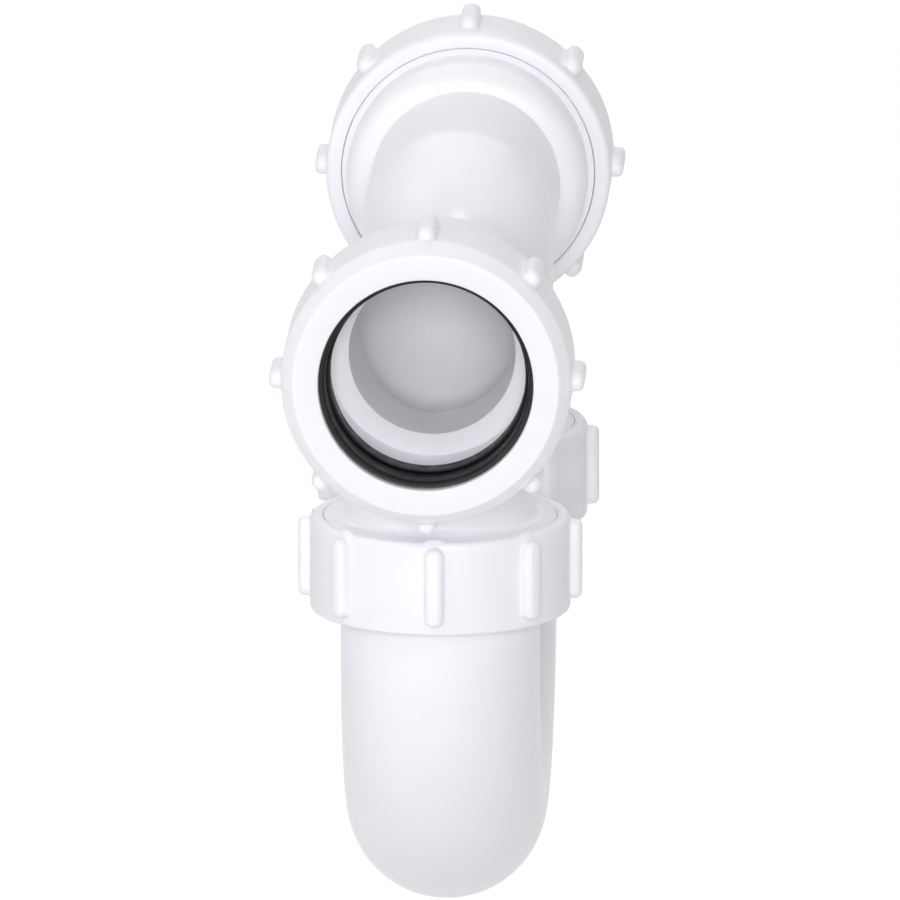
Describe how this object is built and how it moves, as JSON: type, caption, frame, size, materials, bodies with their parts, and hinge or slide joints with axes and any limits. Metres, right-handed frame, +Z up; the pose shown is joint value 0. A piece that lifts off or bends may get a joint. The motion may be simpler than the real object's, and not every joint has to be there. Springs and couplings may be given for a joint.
{
  "type": "running trap",
  "caption": "White plastic running trap: a U-bend hung between knuckle elbows, with ribbed compression nuts and rubber seals at its level inlet and outlet.",
  "frame": {"origin": "middle of the inlet seal's lip, on the level pipe axis", "axes": "+Y along the pipe axis, the way the water runs from inlet to outlet; +Z up; the U-bend hangs below, in the plane X = 0"},
  "size_m": [0.065, 0.2161, 0.1664],
  "materials": {
    "white_plastic": "satin",
    "black_rubber": "matte"
  },
  "bodies": {
    "u_bend": {"u_bend": "white_plastic"},
    "inlet_union_seal": {"inlet_union_seal": "black_rubber"},
    "inlet_union_nut": {"inlet_union_nut": "white_plastic"},
    "inlet_elbow": {"inlet_elbow": "white_plastic"},
    "inlet_seal": {"inlet_seal": "black_rubber"},
    "inlet_nut": {"inlet_nut": "white_plastic"},
    "outlet_union_seal": {"outlet_union_seal": "black_rubber"},
    "outlet_union_nut": {"outlet_union_nut": "white_plastic"},
    "outlet_elbow": {"outlet_elbow": "white_plastic"},
    "outlet_seal": {"outlet_seal": "black_rubber"},
    "outlet_nut": {"outlet_nut": "white_plastic"}
  },
  "joints": [
    {"name": "inlet_swivel", "type": "hinge", "parent": "u_bend", "child": "inlet_union_seal", "pos_m": [0, 0.05425, -0.043], "axis": [0, 0, 1], "range_deg": [-90, 90]},
    {"name": "inlet_union_nut_turn", "type": "hinge", "parent": "inlet_union_seal", "child": "inlet_union_nut", "pos_m": [0, 0.05425, -0.043], "axis": [0, 0, -1], "range_deg": [0, 540]},
    {"name": "inlet_elbow_lift", "type": "slide", "parent": "inlet_union_seal", "child": "inlet_elbow", "axis": [0, 0, 1], "range_m": [0, 0.0045]},
    {"name": "inlet_nut_travel", "type": "slide", "parent": "inlet_elbow", "child": "inlet_seal", "axis": [0, -1, 0], "range_m": [0, 0.0075]},
    {"name": "inlet_nut_turn", "type": "hinge", "parent": "inlet_seal", "child": "inlet_nut", "pos_m": [0, 0, 0], "axis": [0, -1, 0], "range_deg": [0, 900]},
    {"name": "outlet_swivel", "type": "hinge", "parent": "u_bend", "child": "outlet_union_seal", "pos_m": [0, 0.13785, -0.043], "axis": [0, 0, 1], "range_deg": [-90, 90]},
    {"name": "outlet_union_nut_turn", "type": "hinge", "parent": "outlet_union_seal", "child": "outlet_union_nut", "pos_m": [0, 0.13785, -0.043], "axis": [0, 0, -1], "range_deg": [0, 540]},
    {"name": "outlet_elbow_lift", "type": "slide", "parent": "outlet_union_seal", "child": "outlet_elbow", "axis": [0, 0, 1], "range_m": [0, 0.0045]},
    {"name": "outlet_nut_travel", "type": "slide", "parent": "outlet_elbow", "child": "outlet_seal", "axis": [0, 1, 0], "range_m": [0, 0.0075]},
    {"name": "outlet_nut_turn", "type": "hinge", "parent": "outlet_seal", "child": "outlet_nut", "pos_m": [0, 0.19211, 0], "axis": [0, 1, 0], "range_deg": [0, 900]}
  ],
  "couplings": [
    {"joint": "inlet_union_nut_turn", "follows": "inlet_elbow_lift", "rad_per_m": 2094.4},
    {"joint": "inlet_nut_turn", "follows": "inlet_nut_travel", "rad_per_m": 2094.4},
    {"joint": "outlet_union_nut_turn", "follows": "outlet_elbow_lift", "rad_per_m": 2094.4},
    {"joint": "outlet_nut_turn", "follows": "outlet_nut_travel", "rad_per_m": 2094.4}
  ]
}
